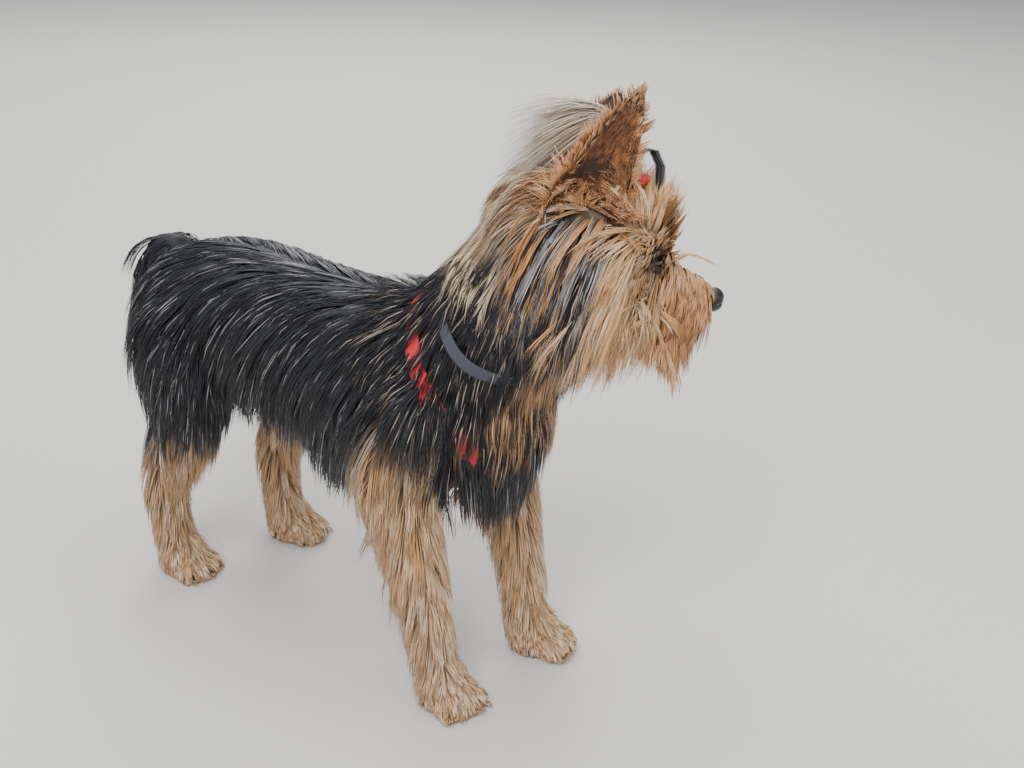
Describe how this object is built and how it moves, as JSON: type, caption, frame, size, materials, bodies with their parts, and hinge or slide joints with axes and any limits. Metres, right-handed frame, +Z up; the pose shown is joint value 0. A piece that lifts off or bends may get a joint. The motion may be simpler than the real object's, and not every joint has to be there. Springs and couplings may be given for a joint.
{
  "type": "yorkshire terrier, standing",
  "caption": "Still life-size long-coated toy terrier standing on four legs, head turned to its left, ears up, hair tied on top, wearing a chest band and a neck strap.",
  "frame": {"origin": "on the floor, under the middle of the dog's bounding box", "axes": "+X the way the chest faces, +Y the dog's left, +Z up"},
  "size_m": [0.3864, 0.1404, 0.3312],
  "materials": {
    "steel_coat": "long silky hair, black to steel blue with silvery ends",
    "tan_coat": "long wavy hair, tan with cream ends",
    "cream_coat": "long hair, cream and tan over black",
    "gold_coat": "long fine hair, golden tan",
    "ear_coat": "short dark rust hair with dark streaks",
    "silver_coat": "long silvery and tan hair",
    "eye": "wet and dark brown",
    "nose_leather": "moist pebbled black",
    "hair_tie": "woven elastic, red",
    "harness_web": "red woven webbing",
    "collar_web": "blue-grey woven webbing"
  },
  "bodies": {
    "root": {"collar": "collar_web", "ear_left": "ear_coat", "ear_right": "ear_coat", "eye_left": "eye", "eye_right": "eye", "foreleg_left_lower": "tan_coat", "foreleg_left_paw": "tan_coat", "foreleg_left_upper": "tan_coat", "foreleg_right_lower": "tan_coat", "foreleg_right_paw": "tan_coat", "foreleg_right_upper": "tan_coat", "harness": "harness_web", "head": "gold_coat", "hindleg_left_lower": "tan_coat", "hindleg_left_paw": "tan_coat", "hindleg_left_upper": "tan_coat", "hindleg_right_lower": "tan_coat", "hindleg_right_paw": "tan_coat", "hindleg_right_upper": "tan_coat", "neck": "cream_coat", "nose": "nose_leather", "tail": "steel_coat", "topknot": "silver_coat", "topknot_tie": "hair_tie", "torso": "steel_coat"}
  },
  "joints": []
}
